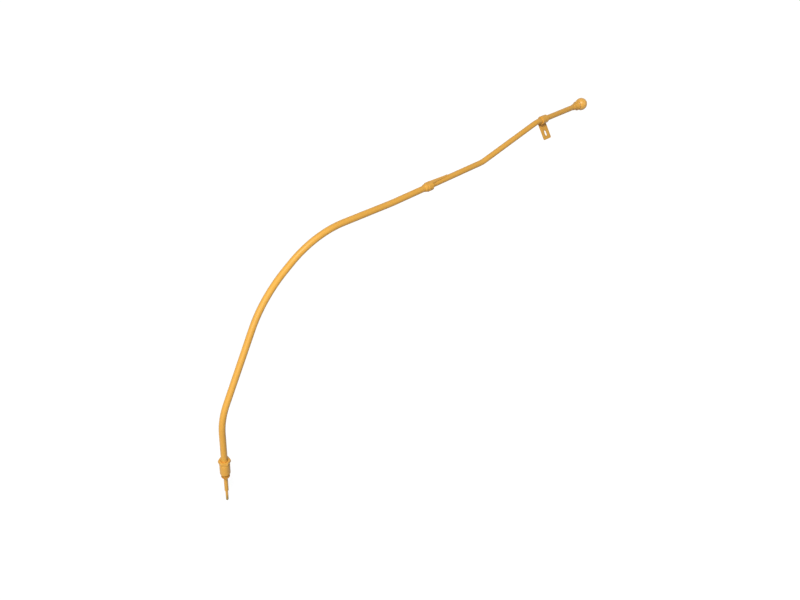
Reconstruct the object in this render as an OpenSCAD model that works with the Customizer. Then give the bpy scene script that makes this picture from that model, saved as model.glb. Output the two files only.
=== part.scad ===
// Oil dipstick with a guide tube in two lengths, for an engine whose filler side is far away.
// Origin: centre of the seat face on the block adapter. +Z runs up the adapter's axis.
// The whole tube lies in the XZ plane, and the ball knob is on the +X side.

/* [Guide tube] */
// Outside diameter of the lower tube
lower_od = 16; // [14:0.5:17]
// Wall of the lower tube
lower_wall = 1.5; // [1:0.25:1.75]
// Outside diameter of the upper tube
upper_od = 15; // [14:0.5:15.5]
// Wall of the upper tube
upper_wall = 1.5; // [1:0.25:1.75]

/* [Straight lengths between bend corners] */
// From the adapter seat to the first corner
run_1 = 184; // [130:1:260]
// From the first to the second corner
run_2 = 325; // [200:1:420]
// From the second to the third corner
run_3 = 180.5; // [170:0.5:280]
// From the third to the fourth corner
run_4 = 230; // [120:1:320]
// From the fourth to the fifth corner
run_5 = 320; // [240:1:420]
// From the fifth to the sixth corner
run_6 = 220; // [60:1:320]
// From the sixth corner to the rim of the mouth
run_7 = 185; // [130:1:300]

/* [Slope of each length above level] */
// Second length
slope_2 = 68; // [64:0.5:72]
// Third length
slope_3 = 40; // [37:0.5:43]
// Fourth length
slope_4 = 2.5; // [0:0.5:4]
// Fifth length
slope_5 = 5; // [4.5:0.5:8]
// Sixth length
slope_6 = 18; // [12:0.5:24]
// Seventh length, which carries the knob
slope_7 = 4; // [0:0.5:8]

/* [Centreline bend radii] */
// First corner
bend_1 = 230; // [120:5:300]
// Second corner
bend_2 = 320; // [160:5:380]
// Third corner
bend_3 = 240; // [120:5:280]
// Fourth corner
bend_4 = 400; // [200:10:600]
// Fifth corner
bend_5 = 80; // [50:5:120]
// Sixth corner
bend_6 = 80; // [50:5:120]

/* [Block adapter] */
// Diameter of the round body
body_d = 26; // [25.5:0.5:30]
// Height of the body above the seat
body_h = 37; // [34:0.5:45]
// Outside diameter of the pipe thread
thread_d = 20.96; // [20.4:0.02:21.2]
// Length of the threaded spigot
thread_l = 15; // [12:0.5:20]
// Outside diameter of the gland nut's thread
gland_d = 22; // [21.5:0.25:22.5]
// Depth of the gland thread from the top of the body
gland_depth = 17; // [14:0.5:18]
// How far the lower tube runs on below the ferrule
tube_tail = 4; // [2:0.5:6]
// Across flats of the key socket inside the body
socket_af = 11; // [10:0.25:12]
// Depth of the key socket
socket_depth = 7; // [5:0.5:9]
// Height of the narrow throat under the key socket
throat_h = 5; // [2:0.5:7]

/* [Tube nut] */
// Across flats of the hexagon
nut_af = 27; // [26:0.5:32]
// Height of the hexagon
nut_h = 8; // [6:0.5:12]
// Gap between the hexagon and the body when tight
nut_gap = 0.3; // [0.1:0.1:1]

/* [Seals and ferrule] */
// Outside diameter of the ferrule
ferrule_d = 19.4; // [19:0.1:20.4]
// Length of the ferrule's long taper
ferrule_taper = 6; // [4:0.5:6.5]
// Half angle of the long taper
ferrule_angle = 12; // [10:0.5:12]
// Height of the land between the two tapers
ferrule_land = 1; // [0.5:0.25:2]
// Height of the short back taper
ferrule_back = 1.2; // [0.8:0.1:1.3]
// Width of the seat's land between the thread and the groove for the seal ring
seal_land = 0.6; // [0.5:0.1:0.6]
// Width of the groove for the seal ring in the seat face
seal_w = 0.9; // [0.7:0.1:1]
// Depth of the groove for the seal ring
seal_h = 1.3; // [1:0.1:2]

/* [Gauge] */
// Outside diameter of the drop pipe
drop_od = 10; // [9.5:0.25:11]
// Wall of the drop pipe
drop_wall = 1; // [0.75:0.25:1.25]
// How far the drop pipe reaches below the seat
drop_reach = 67; // [40:1:100]
// Diameter of the gauge tip
tip_d = 6.6; // [5.5:0.1:7]
// How far the gauge tip reaches below the seat
tip_reach = 105.5; // [95:0.5:125]
// Length of the gauge tip
tip_l = 86; // [70:1:90]
// Height of the add mark above the nose
mark_add = 12; // [9:0.5:15]
// Height of the full mark above the nose
mark_full = 24; // [20:0.5:28]
// Width of a mark's groove
mark_w = 0.8; // [0.5:0.1:1]
// Depth of a mark's groove
mark_depth = 0.4; // [0.2:0.1:0.5]
// Diameter of the flexible cable
cable_d = 4; // [3:0.25:4.25]
// Depth of the cable's crimp in the tip and in the plug
crimp_depth = 14; // [8:1:16]

/* [Mid joint] */
// Distance of the collar's near face from the fourth corner
collar_at = 115; // [60:1:170]
// Outside diameter of the collar
collar_d = 24; // [22.5:0.5:28]
// Length of the collar
collar_l = 16; // [14:0.5:24]
// Depth of the socket for the lower tube
collar_socket = 6.5; // [5:0.5:7.5]
// Thickness of the web between the two tubes
collar_web = 1.5; // [1:0.25:2]
// Thickness of the flat ring on the web
joint_seal_t = 1.5; // [1:0.25:2]

/* [Retaining strap] */
// Thickness of the strap
strap_t = 1.5; // [1:0.25:2]
// Width of the strap over the collar
strap_root_w = 10.5; // [8:0.5:12]
// Width of the strap at its brazed end
strap_tip_w = 6; // [4:0.5:8]
// Length of the strap past the collar
strap_reach = 59; // [40:1:80]
// Height of the strap's underside above the axis, where it crosses the collar
strap_lift = 8.9; // [8.8:0.05:9.4]
// Length of the end that is brazed on the tube
strap_foot = 8; // [5:1:12]
// Height above the axis to which the fork's prongs reach down
fork_low = 4.5; // [3:0.5:6]

/* [Bracket] */
// Distance of the bracket's near face from the sixth corner
bracket_at = 19; // [16:1:60]
// Outside diameter of the sleeve
sleeve_d = 22.5; // [19:0.5:26]
// Length of the sleeve
sleeve_l = 22; // [16:0.5:30]
// Width of the plate, along the tube
plate_w = 30; // [26:0.5:40]
// Thickness of the plate
plate_t = 3; // [2:0.25:4]
// Reach of the plate below the middle of the sleeve
plate_reach = 54; // [50:1:80]
// How far the plate runs on above the middle of the sleeve
plate_lap = 4; // [2:0.5:6]
// Lean of the plate from straight down, toward -Y
plate_lean = 37.7; // [0:0.1:60]
// Corner radius at the plate's free end
plate_corner = 4; // [1:0.5:8]
// Width of the bolt slot
slot_w = 9; // [7:0.5:11]
// Length of the bolt slot
slot_l = 16; // [12:0.5:20]
// Distance of the slot's middle from the plate's free end
slot_inset = 17; // [14:0.5:22]

/* [Mouth] */
// Length of the funnel
funnel_l = 18; // [16:0.5:30]
// Outside diameter of the funnel's narrow end
funnel_neck_d = 17; // [16.8:0.2:19]
// Outside diameter of the funnel under its rim
funnel_top_d = 24; // [22.5:0.5:28]
// Outside diameter of the rim
rim_d = 25.6; // [24.4:0.2:32]
// Height of the rim
rim_h = 2.5; // [1.5:0.5:4]
// Depth of the tube's socket in the funnel
funnel_socket = 9; // [7:0.5:10]
// Diameter of the mouth opening
mouth_d = 18; // [16:0.5:19.5]

/* [Knob and plug] */
// Diameter of the ball
ball_d = 35; // [30:0.5:38]
// Distance from the rim to the middle of the ball
ball_rise = 21; // [19:0.5:24]
// Diameter of the ball's neck and of the plug's flange
neck_d = 21; // [20:0.5:24]
// Thickness of the plug's flange
flange_t = 2; // [1:0.25:3]
// Thickness of the flat ring under the flange
mouth_seal_t = 1; // [0.5:0.25:1.5]
// Diameter of the plug's stud in the ball
stud_d = 10; // [8:0.5:14]
// Length of the plug's stud in the ball
stud_l = 16; // [8:0.5:22]
// Length of the plug below the rim
plug_l = 46; // [44:1:60]
// Length of the plug's thick part below the rim
shank_l = 30; // [28:0.5:34]
// Diameter of the plug's stem, which is crimped on the cable
stem_d = 8; // [7:0.25:9]
// Section of the rubber rings on the plug
ring_d = 1.6; // [1.2:0.1:2]
// Distance from the rim to the upper rubber ring
ring_at = 15; // [13:0.5:16]
// Distance between the two rubber rings
ring_pitch = 8; // [4:0.5:10]

/* [Fits] */
// Gap round a tube that is brazed in or on
braze_gap = 0.05; // [0.02:0.01:0.1]
// Gap drawn round a pressed, crimped or squeezed piece
press_gap = 0.02; // [0.01:0.01:0.05]
// Gap round a piece that slips in by hand
slip_gap = 0.15; // [0.1:0.05:0.25]
// Gap between mating threads
thread_gap = 0.05; // [0.03:0.01:0.1]
// Width of the broken edges
edge = 1; // [0.4:0.1:1.2]

/* [Hidden] */
$fn = 96;
SWEEP_FN = 360;
// A bend's wall is this much thinner on each face than a straight's, as bending draws it
BEND_DRAW = 0.03;
// Overlap of a straight with the bend at its end
LAP = 0.5;

paint = [0.89, 0.64, 0.26];
steel = [0.62, 0.63, 0.65];
brass = [0.75, 0.62, 0.32];
rubber = [0.14, 0.14, 0.15];

runs = [run_1, run_2, run_3, run_4, run_5, run_6, run_7];
slopes = [90, slope_2, slope_3, slope_4, slope_5, slope_6, slope_7];
radii = [0, bend_1, bend_2, bend_3, bend_4, bend_5, bend_6, 0];
last_leg = len(runs) - 1;
collar_leg = last_leg - 2;

lower_r = lower_od / 2;
lower_bore_r = lower_r - lower_wall;
upper_r = upper_od / 2;
upper_bore_r = upper_r - upper_wall;
cable_r = cable_d / 2;

// Heights in the block adapter, each worked down from the one above it
gland_floor = body_h - gland_depth;
ferrule_foot = gland_floor - ferrule_taper;
tube_stop = ferrule_foot - tube_tail;
socket_floor = tube_stop - socket_depth;
drop_top = socket_floor - throat_h;

// Radii that the adapter shares with what it holds
thread_r = thread_d / 2;
seal_r = thread_r + seal_land;
gland_r = gland_d / 2;
tube_hole_r = lower_r + slip_gap;
ferrule_r = ferrule_d / 2;
ferrule_foot_r = ferrule_r - ferrule_taper * tan(ferrule_angle);
drop_bore_r = drop_od / 2 - drop_wall;

// Heights of the ferrule's back and of the nut that squeezes it
nut_tip = gland_floor + ferrule_land;
ferrule_back_r = ferrule_r - ferrule_back;
hex_base = body_h + nut_gap;

// Stations along the fifth length, where the two tubes meet
lower_end = collar_at + collar_socket;
seal_start = lower_end + collar_web;
upper_start = seal_start + joint_seal_t;

// Stations along the seventh length
funnel_start = run_7 - funnel_l;
upper_end = funnel_start + funnel_socket;
plug_start = run_7 - plug_l;
flange_start = run_7 + mouth_seal_t;
knob_start = flange_start + flange_t;

sleeve_r = sleeve_d / 2;

// Unit vector along a length
function heading(leg) = [cos(slopes[leg]), 0, sin(slopes[leg])];

// Corner at the start of a length: the seat is corner zero
function corner(leg) = leg == 0 ? [0, 0, 0] : corner(leg - 1) + runs[leg - 1] * heading(leg - 1);

// Angle turned at a corner, positive where the tube levels out
function turn(leg) = leg == 0 || leg > last_leg ? 0 : slopes[leg - 1] - slopes[leg];

// Straight length that a bend takes up on each side of its corner
function setback(leg) = radii[leg] * tan(abs(turn(leg)) / 2);

// Stands children on a length, with +Z along the tube, +X on its upper side and +Y toward -Y
module on_leg(leg, along) {
    translate(corner(leg) + along * heading(leg))
        rotate([0, 90 - slopes[leg], 0])
            rotate([0, 0, 180])
                children();
}

// Round section, with a bore where the inner radius isn't zero
module round_section(outer, inner) {
    difference() {
        circle(outer);
        if (inner > 0) circle(inner);
    }
}

// Bend at a corner, swept about its centre
module bend(leg, outer, inner) {
    side = turn(leg) > 0 ? 1 : -1;
    normal = [sin(slopes[leg - 1]), 0, -cos(slopes[leg - 1])];
    start = corner(leg) - setback(leg) * heading(leg - 1);
    translate(start + side * radii[leg] * normal)
        rotate([90, 0, 0])
            rotate([0, 0, min(slopes[leg - 1], slopes[leg]) + side * 90])
                rotate_extrude(angle = abs(turn(leg)), $fn = SWEEP_FN)
                    translate([radii[leg], 0])
                        round_section(outer - BEND_DRAW, inner > 0 ? inner + BEND_DRAW : 0, $fn = 96);
}

// Bar or tube along the route, from a station on one length to a station on a later one
module along_route(first_leg, first_at, final_leg, final_at, outer, inner) {
    for (leg = [first_leg : final_leg]) {
        from = leg == first_leg ? first_at : setback(leg) - LAP;
        to = leg == final_leg ? final_at : runs[leg] - setback(leg + 1) + LAP;
        on_leg(leg, from)
            linear_extrude(to - from)
                round_section(outer, inner);
        if (leg < final_leg) bend(leg + 1, outer, inner);
    }
}

// Turned piece whose half section is a list of [radius, height] points
module turned(points) {
    rotate_extrude()
        polygon(points);
}

// Turned ring with its outer edges broken
module chamfered_ring(outer, inner, height, chamfer) {
    turned([
        [inner, 0], [outer - chamfer, 0], [outer, chamfer],
        [outer, height - chamfer], [outer - chamfer, height], [inner, height]
    ]);
}

module lower_guide_tube() {
    color(paint)
        along_route(0, tube_stop + press_gap, collar_leg, lower_end - press_gap, lower_r, lower_bore_r);
}

module upper_guide_tube() {
    color(paint)
        along_route(collar_leg, upper_start, last_leg, upper_end - press_gap, upper_r, upper_bore_r);
}

// Solid outside of the adapter: round body, seat with its ring groove, and threaded spigot
module adapter_blank() {
    body_r = body_d / 2;
    turned([
        [0, -thread_l], [thread_r - edge, -thread_l], [thread_r, edge - thread_l],
        [thread_r, 0], [seal_r, 0], [seal_r, seal_h], [seal_r + seal_w, seal_h], [seal_r + seal_w, 0],
        [body_r - edge / 2, 0], [body_r, edge / 2],
        [body_r, body_h - edge], [body_r - edge, body_h], [0, body_h]
    ]);
}

module block_adapter() {
    color(paint)
        difference() {
            adapter_blank();
            translate([0, 0, gland_floor])
                cylinder(h = gland_depth + 1, r = gland_r + thread_gap);
            translate([0, 0, ferrule_foot])
                cylinder(h = ferrule_taper, r1 = ferrule_foot_r + press_gap, r2 = ferrule_r + press_gap);
            translate([0, 0, tube_stop])
                cylinder(h = tube_tail + ferrule_taper + 1, r = tube_hole_r);
            translate([0, 0, socket_floor])
                cylinder(h = socket_depth + 1, r = socket_af / sqrt(3), $fn = 6);
            translate([0, 0, drop_top - 1])
                cylinder(h = throat_h + 2, r = drop_bore_r);
            translate([0, 0, -thread_l - 1])
                cylinder(h = thread_l + 1 + drop_top, r = drop_od / 2 + press_gap);
        }
}

module port_seal() {
    color(rubber)
        chamfered_ring(seal_r + seal_w - press_gap, seal_r + press_gap, seal_h - press_gap, seal_h / 5);
}

module tube_nut() {
    flat_r = nut_af / 2;
    hex_r = nut_af / sqrt(3);
    crown = (hex_r - flat_r) * tan(30);
    color(paint)
        difference() {
            union() {
                intersection() {
                    translate([0, 0, hex_base])
                        rotate([0, 0, 30])
                            cylinder(h = nut_h, r = hex_r, $fn = 6);
                    turned([
                        [0, hex_base], [flat_r, hex_base], [hex_r, hex_base + crown],
                        [hex_r, hex_base + nut_h - crown], [flat_r, hex_base + nut_h],
                        [0, hex_base + nut_h]
                    ]);
                }
                translate([0, 0, nut_tip])
                    cylinder(h = hex_base + 1 - nut_tip, r = gland_r);
            }
            translate([0, 0, nut_tip - 1])
                cylinder(h = body_h + nut_h, r = tube_hole_r);
            translate([0, 0, nut_tip])
                cylinder(h = ferrule_r - tube_hole_r, r1 = ferrule_r + press_gap, r2 = tube_hole_r);
            translate([0, 0, hex_base + nut_h - edge])
                cylinder(h = edge + 0.01, r1 = tube_hole_r, r2 = tube_hole_r + edge);
        }
}

module compression_ferrule() {
    inner = lower_r + press_gap;
    foot = ferrule_foot + press_gap;
    color(brass)
        turned([
            [inner, foot], [ferrule_foot_r, foot], [ferrule_r, gland_floor],
            [ferrule_r, nut_tip - press_gap], [ferrule_back_r, nut_tip + ferrule_back - press_gap],
            [inner, nut_tip + ferrule_back - press_gap]
        ]);
}

module drop_pipe() {
    outer = drop_od / 2;
    bevel = drop_wall / 3;
    color(paint)
        turned([
            [drop_bore_r, -drop_reach], [outer - bevel, -drop_reach], [outer, bevel - drop_reach],
            [outer, drop_top - press_gap], [drop_bore_r, drop_top - press_gap]
        ]);
}

module gauge_tip() {
    tip_r = tip_d / 2;
    color(paint)
        translate([0, 0, -tip_reach])
            difference() {
                union() {
                    translate([0, 0, tip_r])
                        sphere(tip_r);
                    translate([0, 0, tip_r])
                        cylinder(h = tip_l - tip_r, r = tip_r);
                }
                for (mark = [mark_add, mark_full])
                    rotate_extrude()
                        translate([tip_r - mark_depth, mark])
                            square([mark_depth + 1, mark_w]);
                translate([0, 0, tip_l - crimp_depth])
                    cylinder(h = crimp_depth + 1, r = cable_r + press_gap);
            }
}

module gauge_cable() {
    low_end = tip_l - tip_reach - crimp_depth + press_gap;
    top_end = plug_start + crimp_depth - press_gap;
    color(steel)
        along_route(0, low_end, last_leg, top_end, cable_r, 0);
}

// Room that the retaining strap needs across the collar
module strap_slot() {
    width = strap_root_w + 2 * slip_gap;
    translate([strap_lift - braze_gap, -width / 2, -1])
        cube([collar_d, width, collar_l + 2]);
}

module joint_collar() {
    web_r = min(lower_bore_r, upper_bore_r);
    color(paint)
        on_leg(collar_leg, collar_at)
            difference() {
                chamfered_ring(collar_d / 2, web_r, collar_l, edge);
                translate([0, 0, -1])
                    cylinder(h = collar_socket + 1, r = lower_r + braze_gap);
                translate([0, 0, seal_start - collar_at])
                    cylinder(h = collar_l, r = upper_r + slip_gap);
                strap_slot();
            }
}

module joint_seal() {
    color(rubber)
        on_leg(collar_leg, seal_start + press_gap)
            linear_extrude(joint_seal_t - 2 * press_gap)
                round_section(upper_r, upper_bore_r);
}

// Side view of the strap as [height, distance] points: fork, flat over the collar, ramp and foot
module strap_side() {
    top = strap_lift + strap_t;
    foot = upper_r + braze_gap;
    ramp_start = collar_l + 2 * strap_t;
    ramp_end = collar_l + strap_reach - strap_foot;
    tip = collar_l + strap_reach;
    polygon([
        [fork_low, -braze_gap - strap_t], [top, -braze_gap - strap_t], [top, ramp_start],
        [foot + strap_t, ramp_end], [foot + strap_t, tip], [foot, tip],
        [foot, ramp_end], [strap_lift, ramp_start],
        [strap_lift, -braze_gap], [fork_low, -braze_gap]
    ]);
}

// Strap seen from above: parallel over the collar, then tapered to its brazed end
module strap_plan() {
    near = -braze_gap - strap_t;
    tip = collar_l + strap_reach;
    root = strap_root_w / 2;
    end = strap_tip_w / 2;
    polygon([
        [-root, near], [root, near], [root, collar_l], [end, tip - end / 2], [end / 2, tip],
        [-end / 2, tip], [-end, tip - end / 2], [-root, collar_l]
    ]);
}

module joint_strap() {
    color(paint)
        on_leg(collar_leg, collar_at)
            difference() {
                intersection() {
                    rotate([90, 0, 0])
                        linear_extrude(2 * strap_root_w, center = true)
                            strap_side();
                    rotate([90, 0, 90])
                        linear_extrude(collar_d)
                            strap_plan();
                }
                translate([0, 0, -collar_l])
                    cylinder(h = collar_l, r = tube_hole_r);
            }
}

module bracket_sleeve() {
    color(paint)
        on_leg(last_leg, bracket_at)
            chamfered_ring(sleeve_r, upper_r + braze_gap, sleeve_l, edge / 2);
}

// Plate seen square on, with its length along -X and its width along +Y
module plate_outline() {
    difference() {
        union() {
            translate([-plate_reach + plate_corner, 0])
                square([plate_reach + plate_lap - plate_corner, plate_w]);
            translate([-plate_reach, plate_corner])
                square([plate_reach, plate_w - 2 * plate_corner]);
            for (across = [plate_corner, plate_w - plate_corner])
                translate([-plate_reach + plate_corner, across])
                    circle(plate_corner);
        }
        translate([-plate_reach + slot_inset, plate_w / 2])
            bolt_slot();
    }
}

module bolt_slot() {
    half_run = (slot_l - slot_w) / 2;
    square([2 * half_run, slot_w], center = true);
    for (along = [-half_run, half_run])
        translate([along, 0])
            circle(slot_w / 2);
}

module bracket_plate() {
    color(paint)
        on_leg(last_leg, bracket_at)
            rotate([0, 0, -plate_lean])
                translate([0, -sleeve_r - braze_gap, 0])
                    rotate([90, 0, 0])
                        linear_extrude(plate_t)
                            plate_outline();
}

// Outside of the funnel: it swells slowly from the tube, then faster toward the rim
module funnel_profile() {
    steps = 10;
    neck_r = funnel_neck_d / 2;
    swell = funnel_top_d / 2 - neck_r;
    flare_l = funnel_l - rim_h;
    flare = [for (i = [0 : steps]) [neck_r + swell * (1 - cos(90 * i / steps)), flare_l * i / steps]];
    polygon(concat(
        [[0, 0]], flare,
        [[rim_d / 2 - edge / 2, flare_l], [rim_d / 2, flare_l + edge / 2]],
        [[rim_d / 2, funnel_l - edge / 2], [rim_d / 2 - edge / 2, funnel_l], [0, funnel_l]]
    ));
}

module mouth_funnel() {
    land = funnel_socket + 1;
    color(paint)
        on_leg(last_leg, funnel_start)
            difference() {
                rotate_extrude()
                    funnel_profile();
                translate([0, 0, -1])
                    cylinder(h = funnel_socket + 1, r = upper_r + braze_gap);
                cylinder(h = land, r = upper_bore_r);
                translate([0, 0, land - 0.01])
                    cylinder(h = funnel_l - land + 0.02, r1 = upper_bore_r, r2 = mouth_d / 2);
            }
}

module mouth_seal() {
    color(rubber)
        on_leg(last_leg, run_7 + press_gap)
            linear_extrude(mouth_seal_t - 2 * press_gap)
                round_section(neck_d / 2, mouth_d / 2 - 1);
}

module knob_plug() {
    shank_r = upper_bore_r - slip_gap;
    groove_r = upper_bore_r - ring_d;
    seat_h = funnel_l - funnel_socket - 1;
    flange_z = mouth_seal_t + flange_t;
    color(steel)
        on_leg(last_leg, run_7)
            difference() {
                turned([
                    [0, -plug_l], [stem_d / 2 - edge / 2, -plug_l], [stem_d / 2, edge / 2 - plug_l],
                    [stem_d / 2, -shank_l - edge], [shank_r - edge, -shank_l - edge],
                    [shank_r, -shank_l], [shank_r, -seat_h],
                    [mouth_d / 2 - 1 - slip_gap, 0], [mouth_d / 2 - 1 - slip_gap, mouth_seal_t],
                    [neck_d / 2, mouth_seal_t], [neck_d / 2, flange_z], [stud_d / 2, flange_z],
                    [stud_d / 2, flange_z + stud_l - edge], [stud_d / 2 - edge, flange_z + stud_l],
                    [0, flange_z + stud_l]
                ]);
                for (ring = [0, 1])
                    rotate_extrude()
                        translate([groove_r, -ring_at - ring * ring_pitch - 0.6 * ring_d])
                            square([ring_d + 1, 1.2 * ring_d]);
                translate([0, 0, -plug_l - 1])
                    cylinder(h = crimp_depth + 1, r = cable_r + press_gap);
            }
}

// Rubber ring that fills the gap between the plug's groove and the tube's bore
module plug_ring(below_rim) {
    color(rubber)
        on_leg(last_leg, run_7 - below_rim)
            rotate_extrude()
                translate([upper_bore_r - ring_d / 2, 0])
                    circle(ring_d / 2 - press_gap);
}

module plug_ring_upper() {
    plug_ring(ring_at);
}

module plug_ring_lower() {
    plug_ring(ring_at + ring_pitch);
}

module ball_knob() {
    ball_z = ball_rise - mouth_seal_t - flange_t;
    color(paint)
        on_leg(last_leg, knob_start + press_gap)
            difference() {
                union() {
                    translate([0, 0, ball_z])
                        sphere(ball_d / 2);
                    cylinder(h = ball_z, r = neck_d / 2);
                }
                translate([0, 0, -ball_d])
                    cylinder(h = ball_d, r = ball_d);
                translate([0, 0, -1])
                    cylinder(h = stud_l + 1 + slip_gap, r = stud_d / 2 + thread_gap);
            }
}

lower_guide_tube();
upper_guide_tube();
block_adapter();
port_seal();
tube_nut();
compression_ferrule();
drop_pipe();
gauge_tip();
gauge_cable();
joint_collar();
joint_seal();
joint_strap();
bracket_sleeve();
bracket_plate();
mouth_funnel();
mouth_seal();
knob_plug();
plug_ring_upper();
plug_ring_lower();
ball_knob();
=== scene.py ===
from math import ceil, cos, pi, radians, sin, sqrt, tan

import bmesh
import bpy
from mathutils import Matrix, Vector


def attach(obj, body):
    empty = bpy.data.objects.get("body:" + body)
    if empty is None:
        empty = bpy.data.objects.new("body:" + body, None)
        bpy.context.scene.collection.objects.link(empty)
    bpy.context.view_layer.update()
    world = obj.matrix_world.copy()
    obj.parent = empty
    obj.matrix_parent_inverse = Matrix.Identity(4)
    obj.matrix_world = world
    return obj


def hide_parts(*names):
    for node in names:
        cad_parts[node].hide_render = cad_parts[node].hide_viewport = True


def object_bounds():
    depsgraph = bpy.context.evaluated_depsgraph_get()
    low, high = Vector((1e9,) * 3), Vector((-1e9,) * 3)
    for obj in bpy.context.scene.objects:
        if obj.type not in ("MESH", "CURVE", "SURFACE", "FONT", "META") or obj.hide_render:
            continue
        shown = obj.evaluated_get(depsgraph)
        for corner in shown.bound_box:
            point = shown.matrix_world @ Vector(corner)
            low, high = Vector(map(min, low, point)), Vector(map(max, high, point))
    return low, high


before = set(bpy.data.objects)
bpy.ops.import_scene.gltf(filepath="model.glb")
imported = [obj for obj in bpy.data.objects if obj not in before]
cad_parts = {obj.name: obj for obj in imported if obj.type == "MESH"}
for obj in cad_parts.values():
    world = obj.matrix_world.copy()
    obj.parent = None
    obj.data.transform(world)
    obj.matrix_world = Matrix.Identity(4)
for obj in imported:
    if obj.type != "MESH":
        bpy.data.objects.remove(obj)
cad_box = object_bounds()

# ---------------------------------------------------------------------------
# Lower guide tube
# Drawn steel tube, 16 mm across, bent cold in one plane from the engine block
# up to the collar where the two tubes meet. It is painted after assembly.

MM = 0.001

# The route of both tubes: straight lengths between corners, their slopes above
# level, and the bend radius at each corner. The seat of the adapter is corner 0.
RUNS = (184, 325, 180.5, 230, 320, 220, 185)
SLOPES = (90, 68, 40, 2.5, 5, 18, 4)
BENDS = (0, 230, 320, 240, 400, 80, 80)
COLLAR_LEG = 4
MOUTH_LEG = 6

LOWER_TUBE_R = 8
UPPER_TUBE_R = 7.5
TUBE_WALL = 1.5
BRAZE_GAP = 0.05
PRESS_GAP = 0.02


def heading(leg):
    slope = radians(SLOPES[leg])
    return Vector((cos(slope), 0, sin(slope)))


def corner(leg):
    return sum((RUNS[i] * heading(i) for i in range(leg)), Vector())


def turn(leg):
    return radians(SLOPES[leg - 1] - SLOPES[leg]) if 0 < leg < len(RUNS) else 0


def setback(leg):
    return BENDS[leg] * tan(abs(turn(leg)) / 2) if leg < len(RUNS) else 0


def on_leg(leg, along):
    """Place on a length: +Z along the tube, +X on its upper side, +Y toward -Y."""
    ahead = heading(leg)
    upper = Vector((-ahead.z, 0, ahead.x))
    place = Matrix((upper, Vector((0, -1, 0)), ahead)).transposed().to_4x4()
    place.translation = (corner(leg) + along * ahead)
    return place


def route_points(leg, at, last_leg, last_at):
    """Centre line in mm: the straight ends, and a point for each degree of a bend."""
    points = [corner(leg) + at * heading(leg)]
    while leg < last_leg:
        leg += 1
        start = corner(leg) - setback(leg) * heading(leg - 1)
        side = 1 if turn(leg) > 0 else -1
        slope = radians(SLOPES[leg - 1])
        normal = Vector((sin(slope), 0, -cos(slope))) * side
        centre = start + BENDS[leg] * normal
        steps = max(6, ceil(abs(turn(leg)) / radians(1)))
        for step in range(steps + 1):
            swing = Matrix.Rotation(turn(leg) * step / steps, 3, "Y")
            points.append(centre + swing @ (start - centre))
    points.append(corner(last_leg) + last_at * heading(last_leg))
    return points


def inputs_of(tree, given):
    """Named inputs of a tree, after the geometry that it works on."""
    tree.interface.new_socket("Geometry", in_out="INPUT", socket_type="NodeSocketGeometry")
    for name, kind in given.items():
        tree.interface.new_socket(name, in_out="INPUT", socket_type="NodeSocket" + kind)
    tree.interface.new_socket("Geometry", in_out="OUTPUT", socket_type="NodeSocketGeometry")
    return tree.nodes.new("NodeGroupInput"), tree.nodes.new("NodeGroupOutput")


def shape_node(tree, kind):
    return tree.nodes.new("GeometryNode" + kind)


def close_tree(tree, taken, given, out):
    """Ends a tree in Realize Instances and Set Material."""
    realize = shape_node(tree, "RealizeInstances")
    coat = shape_node(tree, "SetMaterial")
    tree.links.new(given, realize.inputs["Geometry"])
    tree.links.new(realize.outputs["Geometry"], coat.inputs["Geometry"])
    tree.links.new(taken.outputs["Finish"], coat.inputs["Material"])
    tree.links.new(coat.outputs["Geometry"], out.inputs["Geometry"])


def sweep_tree():
    """A round section carried along a path of edges."""
    tree = bpy.data.node_groups.new("round sweep", "GeometryNodeTree")
    taken, out = inputs_of(tree, {
        "Radius": "Float", "Sides": "Int", "Closed Ends": "Bool", "Finish": "Material",
    })
    path = shape_node(tree, "MeshToCurve")
    ring = shape_node(tree, "CurvePrimitiveCircle")
    skin = shape_node(tree, "CurveToMesh")
    link = tree.links.new
    link(taken.outputs["Geometry"], path.inputs["Mesh"])
    link(taken.outputs["Sides"], ring.inputs["Resolution"])
    link(taken.outputs["Radius"], ring.inputs["Radius"])
    link(path.outputs["Curve"], skin.inputs["Curve"])
    link(ring.outputs["Curve"], skin.inputs["Profile Curve"])
    link(taken.outputs["Closed Ends"], skin.inputs["Fill Caps"])
    close_tree(tree, taken, skin.outputs["Mesh"], out)
    return tree


def stand(name, data):
    """A new object in the scene, at the origin."""
    piece = bpy.data.objects.new(name, data)
    bpy.context.scene.collection.objects.link(piece)
    return piece


def edge_path(name, points, place=Matrix()):
    """A mesh of edges only, along points in mm, for a tree to work on."""
    mesh = bpy.data.meshes.new(name)
    links = [(i, i + 1) for i in range(len(points) - 1)]
    mesh.from_pydata([MM * (place @ Vector(p)) for p in points], links, [])
    return stand(name, mesh)


def grow(piece, tree, **values):
    """Puts a tree on a piece and sets its inputs by their sockets' identifiers."""
    modifier = piece.modifiers.new("shape", "NODES")
    modifier.node_group = tree
    for socket in tree.interface.items_tree:
        name = socket.name.lower().replace(" ", "_")
        if socket.in_out == "INPUT" and name in values:
            modifier[socket.identifier] = values[name]


def settle(piece, sharp=40):
    """Turns a piece and its modifiers into one plain mesh, smooth but for its sharp edges."""
    graph = bpy.context.evaluated_depsgraph_get()
    mesh = bpy.data.meshes.new_from_object(piece.evaluated_get(graph))
    old = piece.data
    piece.modifiers.clear()
    piece.data = mesh
    bpy.data.meshes.remove(old)
    mesh.name = piece.name
    shell = bmesh.new()
    shell.from_mesh(mesh)
    bmesh.ops.remove_doubles(shell, verts=shell.verts, dist=1e-7)
    bmesh.ops.recalc_face_normals(shell, faces=shell.faces)
    shell.to_mesh(mesh)
    shell.free()
    mesh.shade_smooth()
    mesh.set_sharp_from_angle(angle=radians(sharp))


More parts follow.
